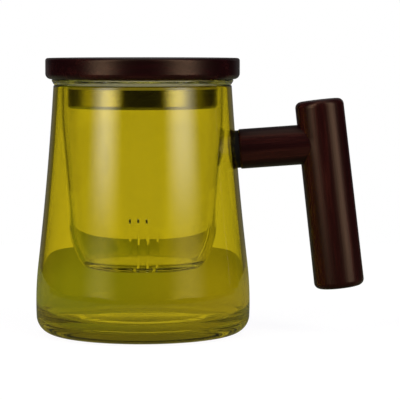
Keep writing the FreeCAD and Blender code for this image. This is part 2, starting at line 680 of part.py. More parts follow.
def saw_slit(body, place):
    """One slit, sawn by a round blade through the side and the corner of the infuser's foot."""
    sideways = place - (SLITS_IN_GROUP - 1) / 2
    outline = Outline(body, "slit_%d_outline" % place)
    sketch = outline.sketch
    turn = "sizes.slit_turn - 90"
    shift = "%g * sizes.slit_pitch" % sideways
    angle = FreeCAD.Rotation(FreeCAD.Vector(0, 1, 0), 1)
    sketch.AttachmentOffset = FreeCAD.Placement(FreeCAD.Vector(0, 0, 0), angle)
    sketch.setExpression("AttachmentOffset.Rotation.Angle", turn)
    sketch.setExpression("AttachmentOffset.Base.x", shift + " * sin(" + turn + ")")
    sketch.setExpression("AttachmentOffset.Base.z", shift + " * cos(" + turn + ")")

    clear = "(sizes.mouth_radius + sizes.blade_radius)"
    top_out = NECK_RADIUS
    top_up = UNDERSIDE + " + sizes.slit_top"
    foot_out = "sizes.slit_foot_radius"
    foot_up = UNDERSIDE + " - sizes.infuser_wall"
    top = point(number(top_out), number(top_up))
    foot = point(number(foot_out), number(foot_up))
    far = number(clear)
    half = (top - foot) * 0.5
    rise = math.sqrt(size("blade_radius") ** 2 - half.Length ** 2)
    centre = foot + half + point(half.y, -half.x).normalize() * rise
    blade = outline.arc(top, foot, centre)
    under = outline.line(foot, point(far, foot.y))
    outside = outline.line(point(far, foot.y), point(far, top.y))
    over = outline.line(point(far, top.y), top)
    outline.join()
    outline.radius(blade, "sizes.blade_radius")
    outline.across(blade, outline.ends(blade)[0], top_out)
    outline.up(blade, outline.ends(blade)[0], top_up)
    outline.across(under, 1, foot_out)
    outline.up(under, 1, foot_up)
    outline.level(under)
    outline.upright(outside)
    outline.across(outside, 1, clear)
    outline.level(over)

    cut = body.newObject("PartDesign::Pocket", "slit_%d" % place)
    cut.Profile = sketch
    cut.SideType = "Symmetric"
    cut.Length = size("slit_width")
    cut.setExpression("Length", "sizes.slit_width")
    doc.recompute()
    return cut


def make_lid_disc():
    """The turned wooden disc with the round core that the steel cup is pressed over."""
    body = new_body("lid_disc")
    top = LIP_TOP + " + sizes.lid_thickness"
    core_end = PLUG_END + " + sizes.cup_wall"
    outline = stepped(body, "disc_outline", [
        ("0", core_end),
        (CORE_RADIUS, core_end),
        (CORE_RADIUS, LIP_TOP),
        ("sizes.lid_radius", LIP_TOP),
        ("sizes.lid_radius", top),
        ("0", top),
    ])
    disc = revolve(body, outline, "disc_turned")
    upper = soften(body, disc, "disc_top_edge", rings(disc, "sizes.lid_radius", top), "sizes.lid_top_round")
    lower_ring = rings(upper, "sizes.lid_radius", LIP_TOP)
    lower = soften(body, upper, "disc_lower_edge", lower_ring, "sizes.lid_under_round")
    core_ring = rings(lower, CORE_RADIUS, core_end)
    soften(body, lower, "core_edge", core_ring, "sizes.cup_round - sizes.cup_wall")
    return body


def make_steel_cup():
    """The polished steel cup that cases the lid's plug."""
    body = new_body("lid_steel_cup")
    inside_floor = PLUG_END + " + sizes.cup_wall"
    outline = stepped(body, "cup_outline", [
        ("0", PLUG_END),
        ("sizes.plug_radius", PLUG_END),
        ("sizes.plug_radius", CUP_RIM),
        (CUP_INSIDE, CUP_RIM),
        (CUP_INSIDE, inside_floor),
        ("0", inside_floor),
    ])
    cup = revolve(body, outline, "cup_pressed")
    outer = soften(body, cup, "cup_outer_edge", rings(cup, "sizes.plug_radius", PLUG_END), "sizes.cup_round")
    inner_ring = rings(outer, CUP_INSIDE, inside_floor)
    soften(body, outer, "cup_inner_edge", inner_ring, "sizes.cup_round - sizes.cup_wall")
    return body


def make_seal():
    """The silicone ring above the steel cup, with lips that face the infuser's neck."""
    body = new_body("lid_seal")
    low = CUP_RIM
    base = "(sizes.plug_radius + sizes.seal_ledge)"
    tip = "(" + NECK_RADIUS + " - sizes.infuser_wall - sizes.seal_clearance)"
    room = "(" + LIP_TOP + " - " + CUP_RIM + " - %d * sizes.seal_lip)" % SEAL_LIPS
    step = "(" + room + " / %d)" % (SEAL_LIPS + 1)
    corners = [(CORE_RADIUS, low), (base, low)]
    for lip in range(SEAL_LIPS):
        start = low + " + %d * %s + %d * sizes.seal_lip" % (lip + 1, step, lip)
        corners += [
            (base, start),
            (tip, start),
            (tip, start + " + sizes.seal_lip"),
            (base, start + " + sizes.seal_lip"),
        ]
    corners += [(base, LIP_TOP), (CORE_RADIUS, LIP_TOP)]
    revolve(body, stepped(body, "seal_outline", corners), "seal_moulded")
    return body


def check(bodies):
    """Stop if anything failed, a sketch is loose, or a piece isn't one sound solid."""
    for item in doc.Objects:
        if "Invalid" in item.State or "Error" in item.State:
            raise SystemExit("failed: %s %s" % (item.Label, item.State))
        if item.TypeId == "Sketcher::SketchObject" and not item.FullyConstrained:
            raise SystemExit("loose sketch: %s" % item.Label)
    for body in bodies:
        shape = body.Shape
        if shape.isNull() or not shape.isValid() or len(shape.Solids) != 1:
            raise SystemExit("bad shape: %s" % body.Label)


pieces = [
    make_mug(),
    make_washer(),
    make_arm(),
    make_dowel(),
    make_grip(),
    make_infuser(),
    make_lid_disc(),
    make_steel_cup(),
    make_seal(),
]
doc.recompute()
check(pieces)
os.makedirs("parts", exist_ok=True)
for piece in pieces:
    piece.Shape.exportStep("parts/%s.step" % piece.Label)
    box = piece.Shape.optimalBoundingBox()
    print("%-14s %9.1f mm3  x %6.1f %6.1f  y %6.1f %6.1f  z %6.1f %6.1f" % (
        piece.Label, piece.Shape.Volume, box.XMin, box.XMax, box.YMin, box.YMax, box.ZMin, box.ZMax))
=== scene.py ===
"""Looks of the lidded tea mug: glass, dark wood, polished steel and soft studio light."""
import math

import bmesh
import bpy
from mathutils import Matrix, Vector


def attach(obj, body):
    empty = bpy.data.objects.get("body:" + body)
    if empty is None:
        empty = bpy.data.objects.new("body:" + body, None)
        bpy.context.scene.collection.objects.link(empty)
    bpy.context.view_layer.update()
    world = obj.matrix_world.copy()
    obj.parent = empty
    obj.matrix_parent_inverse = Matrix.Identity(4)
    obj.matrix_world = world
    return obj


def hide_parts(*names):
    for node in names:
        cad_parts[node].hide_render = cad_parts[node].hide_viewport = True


MM = 0.001

# Camera, fitted to the photograph: millimetres from the mug's axis, degrees down from level,
# and pixels of the photograph's frame. The axis is placed in the frame at the aim's height.
CAMERA_BACK = 955.0
CAMERA_HEIGHT = 132.2
CAMERA_PITCH = 4.32
AIM_HEIGHT = 60.0
FOCAL_PIXELS = 2113.0
FRAME_PIXELS = 400.0
AXIS_PIXEL = 142.9
SENSOR_WIDTH = 36

# Glass forms, as in the CAD model, in millimetres and degrees.
MUG_HEIGHT = 112.2
MOUTH_RADIUS = 40.2
GLASS_WALL = 2.2
WALL_BOW = 1450.0
BELLY_RADIUS = 48.45
BELLY_HEIGHT = 14.2
BELLY_BOW = 150.0
HEEL_RADIUS = 8.1
FLOOR_HEIGHT = 7.9
FLOOR_DOME = 300.0
INNER_CORNER = 8.0
PUSHUP_RADIUS = 27.0
PUSHUP_HEIGHT = 2.6
PUSHUP_ROUND = 2.5
RIM_ROUND = 0.8
HANDLE_HEIGHT = 83.1
ARM_TILT = 4.07
GRIP_TILT = 6.6
PEG_RADIUS = 6.0
PEG_LENGTH = 15.0
PEG_ROUND = 1.0
PEG_ROOT_ROUND = 0.8
PEG_DIP = 0.02

LIP_TOP = 114.8
LIP_RADIUS = 41.4
LIP_SEAT_RADIUS = 39.9
LIP_ROUND = 0.6
LIP_THROAT = 2.0
INFUSER_WALL = 2.0
NECK_RADIUS = 37.6
NECK_DEPTH = 11.0
SHOULDER_RADIUS = 120.0
BASKET_TAPER = 4.9
UNDERSIDE = 29.3
BASKET_FLOOR = 3.2
BASKET_INNER_CORNER = 3.5
BASKET_BOW = 40.0
BASKET_CORNER = 6.0
BASKET_FOOT = 23.3
SLIT_WIDTH = 1.0
SLIT_PITCH = 4.1
SLIT_TOP = 22.0
SLIT_FOOT_RADIUS = 21.5
BLADE_RADIUS = 30.0
SLIT_TURN = 5.6
SLIT_GROUPS = 4

# Points along each part of the glass sections, and round a full turn.
TURNS = 256
PEG_TURNS = 96
ROUND_STEPS = 8
MUG_STEPS = {"hollow": 24, "heel": 24, "belly": 12, "wall": 40, "corner": 20, "floor": 30}
BASKET_STEPS = {"floor": 12, "corner": 14, "bow": 16, "side": 20, "shoulder": 14}
BLADE_STEPS = 32
PEG_ROOT_STEPS = 6
PEG_END_STEPS = 8
SKIN_TRIES = 6
ON_AXIS = 1e-6
SHARP_ANGLE = 35

# Colours of the materials, the darkest first.
AMBER = (0.50, 0.385, 0.007)
CLEAR = (1, 1, 1)
GLASS_SHADOW = (0.9, 0.9, 0.9, 1)
WOOD = ((0.005, 0.0002, 0.0010), (0.011, 0.0010, 0.0020), (0.030, 0.0055, 0.0045))
GRIP_WOOD = ((0.007, 0.0003, 0.0010), (0.016, 0.0014, 0.0020), (0.040, 0.0075, 0.0050))
DOWEL_WOOD = ((0.30, 0.19, 0.10), (0.42, 0.28, 0.16), (0.52, 0.37, 0.23))
STEEL = ((0.50, 0.49, 0.46), (0.60, 0.59, 0.55))
WASHER = ((0.004, 0.003, 0.003), (0.007, 0.005, 0.005))
# The seal is pale silicone, set paler and yellower than that: painted light for the glass lip,
# which sits in shade under the lid.
SEAL = ((0.72, 0.66, 0.38), (0.80, 0.74, 0.45))

# How rough each surface is, how far that varies, and where colours sit in a noise's values.
OILED = 0.29
UNFINISHED = 0.6
WOOD_VARIES = 0.07
STEEL_ROUGHNESS = (0.09, 0.15)
NOISE_SPAN = (0.3, 0.7)
WOOD_STOPS = (0.38, 0.52, 0.66)
WOOD_TINT = (1, 0.62, 0.38, 1)
BAND_SCALE = (9, 150, 150)
FIBRE_SCALE = (60, 1500, 1500)
FIBRE_SHARE = 0.35
RING_SCALE = (30, 30, 2500)

# Stage: a pale floor, white to the eye and, through glass, a dimmer painted glow, and a dark card
# that only mirror reflections see. Places are in metres and angles in degrees.
FLOOR_EDGE = 0.411
FLOOR_DROP = 0.0002
FLOOR_MATT = (0.16, 0.17, 0.11, 1)
FLOOR_WHITE = (0.88, 0.87, 0.92, 1)
# Through glass the glow is green to the left and orange to the right: a painted reflection of the
# surroundings.
FLOOR_LEFT = (0.24, 0.32, 0.27)
FLOOR_RIGHT = (0.43, 0.40, 0.30)
TONE_SPAN = (-0.05, 0.05)
# Painted shade: the glow through glass drops to FOOT_SHADE under the foot, as a painted contact
# shadow, and loses FAR_LOSS far away.
FOOT_SPAN = (0.036, 0.052)
FOOT_SHADE = 0.4
FAR_SPAN = (0.20, 0.40)
FAR_LOSS = 0.35
FRONT_SPAN = (-0.15, -0.05)
CARD_RADIUS = 0.3
CARD_HEIGHT = 0.13
CARD_TURN = 110
CARD_STEPS = 44
CARD_SPAN = (0.070, 0.118)
CARD_CLEAR = 0.1
CARD_DARK = (0.01, 0.01, 0.01, 1)

# World: angles are in degrees. A box or wall is (first azimuth, last azimuth, strength), where
# an azimuth counts from the camera's side, with 90 on the right.
LEFT_BOX = (-58, -35, 4.4)
RIGHT_BOX = (38, 66, 4.0)
LEFT_WALL = (-95, -58, 0.9)
RIGHT_WALL = (66, 95, 0.4)
BOX_FOOT = -6
BOX_HEAD = 60
BOX_SOFT = 12
BOX_RISE = 2
BACK_SIDES = (137, 153)
BACK_FOOT = (-30, -20)
BACK_HEAD = (75, 60)
BACK_OUTSIDE = 0.1
CEILING = (60, 75)
CEILING_LIGHT = 0.5
BOXES_LOST_INSIDE = 0.5
EDGE_PASSES = 3.5
EDGE_LIGHT = 0.2
FILL_LIGHT = 0.4
ROOM_LIGHT = 0.01


def flat(x, y):
    return Vector((x, y))


def toward(start, end, distance):
    """The point at a distance from start on the way to end."""
    return start + (end - start).normalized() * distance


def meeting(centre_a, radius_a, centre_b, radius_b):
    """Where two circles cross, on the side with the larger x."""
    way = centre_b - centre_a
    along = (radius_a ** 2 - radius_b ** 2 + way.length ** 2) / (2 * way.length)
    aside = math.sqrt(radius_a ** 2 - along ** 2)
    foot = toward(centre_a, centre_b, along)
    square = flat(-way.y, way.x).normalized() * aside
    return max(foot + square, foot - square, key=lambda point: point.x)


def arc(start, end, centre, steps):
    """Points of the shorter arc from start to end round centre, without its last point."""
    first = math.atan2(start.y - centre.y, start.x - centre.x)
    last = math.atan2(end.y - centre.y, end.x - centre.x)
    turn = (last - first + math.pi) % math.tau - math.pi
    radius = (start - centre).length
    angles = [first + turn * step / steps for step in range(steps)]
    return [centre + radius * flat(math.cos(angle), math.sin(angle)) for angle in angles]


def rounded(points, corners):
    """The outline with some corners, given as {number: radius}, rounded off."""
    out = []
    for number, point in enumerate(points):
        if number not in corners:
            out.append(point)
            continue
        before = (points[number - 1] - point).normalized()
        after = (points[(number + 1) % len(points)] - point).normalized()
        half = math.acos(max(-1.0, min(1.0, before.dot(after)))) / 2
        radius = corners[number]
        reach = radius / math.tan(half)
        centre = point + (before + after).normalized() * (radius / math.sin(half))
        out += arc(point + before * reach, point + after * reach, centre, ROUND_STEPS)
        out.append(point + after * reach)
    return out


def lathe(outline):
    """A bmesh of an outline, open from axis to axis or closed off the axis, turned round Z."""
    bm = bmesh.new()
    rings = []
    for point in outline:
        radius, height = point.x * MM, point.y * MM
        if abs(point.x) < ON_AXIS:
            rings.append([bm.verts.new((0, 0, height))])
            continue
        ring = []
        for turn in range(TURNS):
            angle = math.tau * turn / TURNS
            ring.append(bm.verts.new((radius * math.cos(angle), radius * math.sin(angle), height)))
        rings.append(ring)
    pairs = list(zip(rings, rings[1:]))
    if len(rings[0]) > 1 and len(rings[-1]) > 1:
        pairs.append((rings[-1], rings[0]))
    for low, high in pairs:
        if len(low) == 1 and len(high) == 1:
            continue
        for turn in range(TURNS):
            after = (turn + 1) % TURNS
            corners = [low[turn % len(low)], low[after % len(low)],
                       high[after % len(high)], high[turn % len(high)]]
            bm.faces.new(list(dict.fromkeys(corners)))
    return bm


def new_mesh(name, bm):
    """A mesh made from a bmesh, which is then freed."""
    mesh = bpy.data.meshes.new(name)
    bm.to_mesh(mesh)
    bm.free()
    return mesh


def new_object(name, data):
    """An object in the scene."""
    thing = bpy.data.objects.new(name, data)
    bpy.context.scene.collection.objects.link(thing)
    return thing


def piece(name, bm, material, body, nodes):
    """Turn a bmesh into a smooth object that rides on a body and stands for CAD nodes."""
    bmesh.ops.recalc_face_normals(bm, faces=bm.faces)
    mesh = new_mesh(name, bm)
    for face in mesh.polygons:
        face.use_smooth = True
    thing = new_object(name, mesh)
    mesh.materials.append(material)
    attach(thing, body)
    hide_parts(*nodes)
    return thing


def combine(thing, operation, bm):
    """Join a closed bmesh to a piece, or cut it away from it."""
    bmesh.ops.recalc_face_normals(bm, faces=bm.faces)
    tool = new_object("tool", new_mesh("tool", bm))
    step = thing.modifiers.new("step", "BOOLEAN")
    step.operation = operation
    step.solver = "EXACT"
    step.object = tool
    evaluated = thing.evaluated_get(bpy.context.evaluated_depsgraph_get())
    made = bpy.data.meshes.new_from_object(evaluated)
    thing.modifiers.clear()
    thing.data = made
    bpy.data.objects.remove(tool)
    for face in made.polygons:
        face.use_smooth = True
    made.set_sharp_from_angle(angle=math.radians(SHARP_ANGLE))


def stage_piece(name, bm, material):
    """Turn a bmesh into an object of the stage."""
    mesh = new_mesh(name, bm)
    mesh.materials.append(material)
    thing = new_object(name, mesh)
    return thing


def mug_centres():
    """The centres of the circles that the mug's belly and wall follow."""
    rim = flat(MOUTH_RADIUS, MUG_HEIGHT)
    belly = flat(BELLY_RADIUS - BELLY_BOW, BELLY_HEIGHT)
    return belly, meeting(rim, WALL_BOW, belly, WALL_BOW + BELLY_BOW)


def mug_radius(height):
    """Radius of the mug's outer wall at a height above its belly."""
    _, wall = mug_centres()
    return wall.x - math.sqrt(WALL_BOW ** 2 - (height - wall.y) ** 2)


def mug_outline():
    """The mug's section, from the hollow under its foot to its inner floor, both on the axis."""
    rim = flat(MOUTH_RADIUS, MUG_HEIGHT)
    inner_rim = flat(MOUTH_RADIUS - GLASS_WALL, MUG_HEIGHT)
    belly, wall = mug_centres()
    belly_top = toward(belly, wall, BELLY_BOW)
    heel_reach = math.sqrt((BELLY_BOW - HEEL_RADIUS) ** 2 - (belly.y - HEEL_RADIUS) ** 2)
    heel = flat(belly.x + heel_reach, HEEL_RADIUS)
    heel_top = toward(belly, heel, BELLY_BOW)
    foot = flat(heel.x, 0)
    hollow_radius = (PUSHUP_RADIUS ** 2 + PUSHUP_HEIGHT ** 2) / (2 * PUSHUP_HEIGHT)
    hollow = flat(0, PUSHUP_HEIGHT - hollow_radius)
    floor = flat(0, FLOOR_HEIGHT - FLOOR_DOME)
    inner_bow = (wall - belly).length - (inner_rim - wall).length
    inner_top = toward(belly, wall, inner_bow)
    corner = meeting(belly, inner_bow - INNER_CORNER, floor, FLOOR_DOME + INNER_CORNER)
    corner_top = toward(belly, corner, inner_bow)
    corner_foot = toward(floor, corner, FLOOR_DOME)

    points = arc(flat(0, PUSHUP_HEIGHT), flat(PUSHUP_RADIUS, 0), hollow, MUG_STEPS["hollow"])
    hollow_edge = len(points)
    points.append(flat(PUSHUP_RADIUS, 0))
    points += arc(foot, heel_top, heel, MUG_STEPS["heel"])
    points += arc(heel_top, belly_top, belly, MUG_STEPS["belly"])
    points += arc(belly_top, rim, wall, MUG_STEPS["wall"])
    outer_rim = len(points)
    points += [rim, inner_rim]
    points += arc(inner_rim, inner_top, wall, MUG_STEPS["wall"])[1:]
    points += arc(inner_top, corner_top, belly, MUG_STEPS["belly"])
    points += arc(corner_top, corner_foot, corner, MUG_STEPS["corner"])
    points += arc(corner_foot, flat(0, FLOOR_HEIGHT), floor, MUG_STEPS["floor"])
    points.append(flat(0, FLOOR_HEIGHT))
    rounds = {hollow_edge: PUSHUP_ROUND, outer_rim: RIM_ROUND, outer_rim + 1: RIM_ROUND}
    return rounded(points, rounds)


def inside_mug(centre):
    """Whether a point of the mug's skin lies on its inner wall, inner floor or rim's inner half."""
    height = centre.z / MM
    middle = min(mug_radius(height), BELLY_RADIUS) - GLASS_WALL / 2
    above_foot = height > (PUSHUP_HEIGHT + FLOOR_HEIGHT) / 2
    return math.hypot(centre.x, centre.y) / MM < middle and above_foot


def peg():
    """The glass peg on the mug's wall, with a rounded root and end, closed inside the wall."""
    tilt = math.radians(ARM_TILT)
    root = mug_radius(HANDLE_HEIGHT)

    def place(angle, radius, along):
        """The point at an angle and radius round the arm's axis and a way along it."""
        up = radius * math.sin(angle)
        x = root + along * math.cos(tilt) - up * math.sin(tilt)
        z = HANDLE_HEIGHT + along * math.sin(tilt) + up * math.cos(tilt)
        return x, radius * math.cos(angle), z

    def skin(angle, radius):
        """How far along the arm the wall's skin lies at an angle and radius."""
        along = 0.0
        for _ in range(SKIN_TRIES):
            x, y, z = place(angle, radius, along)
            along += mug_radius(z) - math.hypot(x, y)
        return along

    bm = bmesh.new()
    columns = []
    flare = PEG_RADIUS + PEG_ROOT_ROUND
    for turn in range(PEG_TURNS):
        angle = math.tau * turn / PEG_TURNS
        points = [place(angle, flare, skin(angle, flare) - GLASS_WALL / 2)]
        for step in range(PEG_ROOT_STEPS + 1):
            bend = math.pi / 2 * step / PEG_ROOT_STEPS
            radius = PEG_RADIUS + PEG_ROOT_ROUND * (1 - math.sin(bend))
            along = skin(angle, PEG_RADIUS) + PEG_ROOT_ROUND * (1 - math.cos(bend)) - PEG_DIP
            points.append(place(angle, radius, along))
        for step in range(PEG_END_STEPS + 1):
            bend = math.pi / 2 * step / PEG_END_STEPS
            radius = PEG_RADIUS - PEG_ROUND * (1 - math.cos(bend))
            along = PEG_LENGTH - PEG_ROUND * (1 - math.sin(bend))
            points.append(place(angle, radius, along))
        columns.append([bm.verts.new(Vector(point) * MM) for point in points])
    for low, high in zip(columns, columns[1:] + columns[:1]):
        for step in range(len(low) - 1):
            bm.faces.new((low[step], high[step], high[step + 1], low[step + 1]))
    bm.faces.new([column[0] for column in reversed(columns)])
    bm.faces.new([column[-1] for column in columns])
    return bm


def infuser_outline():
    """The infuser's section, from the middle of its underside round its lip to its inner floor."""
    taper = math.radians(BASKET_TAPER)
    outward = flat(math.cos(taper), -math.sin(taper))
    downward = flat(-math.sin(taper), -math.cos(taper))
    shoulder = flat(NECK_RADIUS - SHOULDER_RADIUS, MUG_HEIGHT - NECK_DEPTH)
    corner = flat(BASKET_FOOT, UNDERSIDE + BASKET_CORNER)
    start = shoulder + outward * (SHOULDER_RADIUS - BASKET_BOW)
    along = (corner - start).dot(downward)
    aside = (corner - start).dot(outward)
    bow = start + downward * (along - math.sqrt((BASKET_BOW - BASKET_CORNER) ** 2 - aside ** 2))
    reach = BASKET_BOW - INFUSER_WALL - BASKET_INNER_CORNER
    inner_up = UNDERSIDE + BASKET_FLOOR + BASKET_INNER_CORNER
    inner_corner = flat(bow.x + math.sqrt(reach ** 2 - (bow.y - inner_up) ** 2), inner_up)

    def side(depth, corner, rounding):
        """The outline from the middle up to the neck, at a depth below the outer skin."""
        foot = corner - flat(0, rounding)
        corner_top = toward(bow, corner, BASKET_BOW - depth)
        side_foot = bow + outward * (BASKET_BOW - depth)
        side_top = shoulder + outward * (SHOULDER_RADIUS - depth)
        neck = shoulder + flat(SHOULDER_RADIUS - depth, 0)
        across, rising = BASKET_STEPS["floor"], BASKET_STEPS["side"]
        points = [flat(foot.x * step / across, foot.y) for step in range(across)]
        points += arc(foot, corner_top, corner, BASKET_STEPS["corner"])
        points += arc(corner_top, side_foot, bow, BASKET_STEPS["bow"])
        points += [side_foot + (side_top - side_foot) * step / rising for step in range(rising)]
        points += arc(side_top, neck, shoulder, BASKET_STEPS["shoulder"])
        points.append(neck)
        return points

    points = side(0, corner, BASKET_CORNER)
    seat = len(points)
    points += [flat(NECK_RADIUS, MUG_HEIGHT), flat(LIP_SEAT_RADIUS, MUG_HEIGHT)]
    points += [flat(LIP_RADIUS, LIP_TOP), flat(NECK_RADIUS - INFUSER_WALL, LIP_TOP)]
    points += reversed(side(INFUSER_WALL, inner_corner, BASKET_INNER_CORNER))
    rounds = {seat: LIP_ROUND, seat + 1: LIP_ROUND, seat + 2: LIP_ROUND, seat + 3: LIP_THROAT}
    return rounded(points, rounds)


def blades():
    """The paths of the saw's blade through the infuser's foot, as one bmesh to cut away."""
    bm = bmesh.new()
    top = flat(NECK_RADIUS, UNDERSIDE + SLIT_TOP)
    foot = flat(SLIT_FOOT_RADIUS, UNDERSIDE - INFUSER_WALL)
    far = MOUTH_RADIUS + BLADE_RADIUS
    half = (top - foot) / 2
    rise = math.sqrt(BLADE_RADIUS ** 2 - half.length ** 2)
    centre = foot + half + flat(half.y, -half.x).normalized() * rise
    path = arc(top, foot, centre, BLADE_STEPS) + [foot, flat(far, foot.y), flat(far, top.y)]
    for group in range(SLIT_GROUPS):
        turn = math.radians(SLIT_TURN + 360 * group / SLIT_GROUPS)
        for middle in (-SLIT_PITCH, 0, SLIT_PITCH):
            sides = []
            for aside in (middle - SLIT_WIDTH / 2, middle + SLIT_WIDTH / 2):
                side = []
                for point in path:
                    x = point.x * math.cos(turn) - aside * math.sin(turn)
                    y = point.x * math.sin(turn) + aside * math.cos(turn)
                    side.append(bm.verts.new((x * MM, y * MM, point.y * MM)))
                bm.faces.new(side)
                sides.append(side)
            near, next_side = sides
            for number in range(len(path)):
                after = (number + 1) % len(path)
                bm.faces.new((near[number], near[after], next_side[after], next_side[number]))
    return bm


def nodes_of(holder, output="ShaderNodeOutputMaterial"):
    """The node tree of a material or world, emptied of everything but its output."""
    holder.use_nodes = True
    tree = holder.node_tree
    tree.nodes.clear()
    return tree, tree.nodes.new(output)


def connect(tree, kind, sources=None, values=None):
    """A new node with some inputs linked to sources and some set to values."""
    node = tree.nodes.new(kind)
    for name, source in (sources or {}).items():
        tree.links.new(source, node.inputs[name])
    for name, value in (values or {}).items():
        node.inputs[name].default_value = value
    return node


def new_material(name):
    """A material with its emptied tree, its output and the object's coordinates."""
    material = bpy.data.materials.new(name)
    tree, out = nodes_of(material)
    return material, tree, out, connect(tree, "ShaderNodeTexCoord").outputs["Object"]


def stretched(tree, vector, scale):
    """Coordinates scaled along each axis."""
    node = connect(tree, "ShaderNodeMapping", {"Vector": vector}, {"Scale": scale})
    return node.outputs["Vector"]


def noise(tree, vector, scale=1, detail=2, distortion=0.0):
    """Noise over some coordinates."""
    values = {"Scale": scale, "Detail": detail, "Distortion": distortion}
    return connect(tree, "ShaderNodeTexNoise", {"Vector": vector}, values).outputs["Fac"]


def bump(tree, height, strength, distance):
    """A normal with a relief."""
    values = {"Strength": strength, "Distance": distance}
    return connect(tree, "ShaderNodeBump", {"Height": height}, values).outputs["Normal"]


def ramp(tree, value, stops, colours):
    """A colour ramp through colours at stops."""
    node = connect(tree, "ShaderNodeValToRGB", {"Fac": value})
    elements = node.color_ramp.elements
    while len(elements) < len(stops):
        elements.new(0.5)
    for element, position, colour in zip(elements, stops, colours):
        element.position = position
        element.color = (*colour, 1)
    return node.outputs["Color"]


def roughness_range(tree, value, first, last):
    """A roughness that goes from first to last as a noise goes through its span."""
    node = connect(tree, "ShaderNodeMapRange", {"Value": value}, {
        "From Min": NOISE_SPAN[0],
        "From Max": NOISE_SPAN[1],
        "To Min": first,
        "To Max": last,
    })
    return node.outputs["Result"]


class Maths:
    """Arithmetic in one node tree. Each value is a socket or a number."""

    def __init__(self, tree):
        self.tree = tree

    def node(self, operation, *values):
        """The result of a Math node."""
        node = self.tree.nodes.new("ShaderNodeMath")
        node.operation = operation
        for place, value in enumerate(values):
            if isinstance(value, (int, float)):
                node.inputs[place].default_value = value
            else:
                self.tree.links.new(value, node.inputs[place])
        return node.outputs[0]

    def plus(self, total, *others):
        for other in others:
            total = self.node("ADD", total, other)
        return total

    def times(self, product, *others):
        for other in others:
            product = self.node("MULTIPLY", product, other)
        return product

    def most(self, first, second):
        return self.node("MAXIMUM", first, second)

    def without(self, share):
        """What a share leaves of 1."""
        return self.node("SUBTRACT", 1.0, share)

    def lifted(self, share, least):
        """A share that runs from least to 1 instead of from 0 to 1."""
        return self.plus(self.times(share, 1 - least), least)

    def fewer(self, count, limit=0.5):
        """1 while a count is under a limit, which is none at all unless given."""
        return self.node("LESS_THAN", count, limit)

    def smooth(self, value, first, last):
        """A soft step from 0 at first to 1 at last, either of which may be the larger."""
        node = connect(self.tree, "ShaderNodeMapRange", {"Value": value},
                       {"From Min": first, "From Max": last})
        node.interpolation_type = "SMOOTHSTEP"
        return node.outputs["Result"]


def glass(name, colour, ripple):
    """Glass whose surface passes a colour, with a faint blown ripple."""
    material, tree, out, where = new_material(name)
    shader = connect(tree, "ShaderNodeBsdfPrincipled", {
        "Normal": bump(tree, noise(tree, where, scale=45, detail=1), ripple, distance=0.001),
    }, {
        "Base Color": (*colour, 1),
        "Roughness": 0.0,
        "IOR": 1.5,
        "Transmission Weight": 1,
    })
    path = connect(tree, "ShaderNodeLightPath")
    shadow = connect(tree, "ShaderNodeBsdfTransparent", {}, {"Color": GLASS_SHADOW})
    mix = connect(tree, "ShaderNodeMixShader", {
        "Fac": path.outputs["Is Shadow Ray"],
        1: shader.outputs["BSDF"],
        2: shadow.outputs["BSDF"],
    })
    tree.links.new(mix.outputs["Shader"], out.inputs["Surface"])
    return material


def wood(name, lean, colours, roughness=OILED):
    """Oiled wood with its grain along X, leaned up by an angle, with fibres and darker pores."""
    material, tree, out, where = new_material(name)
    along = connect(tree, "ShaderNodeMapping", {"Vector": where},
                    {"Rotation": (0, math.radians(lean), 0)}).outputs["Vector"]
    band = noise(tree, stretched(tree, along, BAND_SCALE), detail=3, distortion=0.4)
    fibre = noise(tree, stretched(tree, along, FIBRE_SCALE))
    grain = connect(tree, "ShaderNodeMix", {2: band, 3: fibre}, {"Factor": FIBRE_SHARE}).outputs[0]
    rough, polished = roughness + WOOD_VARIES, roughness - WOOD_VARIES
    shader = connect(tree, "ShaderNodeBsdfPrincipled", {
        "Base Color": ramp(tree, grain, WOOD_STOPS, colours),
        "Roughness": roughness_range(tree, grain, rough, polished),
        "Normal": bump(tree, fibre, strength=0.12, distance=0.0003),
    }, {"Specular IOR Level": 0.34, "Specular Tint": WOOD_TINT})
    tree.links.new(shader.outputs["BSDF"], out.inputs["Surface"])
    return material


def spun_steel(name):
    """Polished sheet steel with the faint rings that spinning and polishing leave."""
    material, tree, out, where = new_material(name)
    ring = noise(tree, stretched(tree, where, RING_SCALE))
    shader = connect(tree, "ShaderNodeBsdfPrincipled", {
        "Base Color": ramp(tree, ring, NOISE_SPAN, STEEL),
        "Roughness": roughness_range(tree, ring, *STEEL_ROUGHNESS),
        "Normal": bump(tree, ring, strength=0.02, distance=0.0002),
    }, {"Metallic": 1.0})
    tree.links.new(shader.outputs["BSDF"], out.inputs["Surface"])
    return material


def moulded_silicone(name, colours, gloss):
    """Moulded silicone with a fine dull skin and a slightly clouded colour."""
    material, tree, out, where = new_material(name)
    shader = connect(tree, "ShaderNodeBsdfPrincipled", {
        "Base Color": ramp(tree, noise(tree, where, scale=120), NOISE_SPAN, colours),
        "Normal": bump(tree, noise(tree, where, scale=3000), strength=0.1, distance=0.0002),
    }, {"Roughness": 0.5, "Specular IOR Level": gloss})
    tree.links.new(shader.outputs["BSDF"], out.inputs["Surface"])
    return material


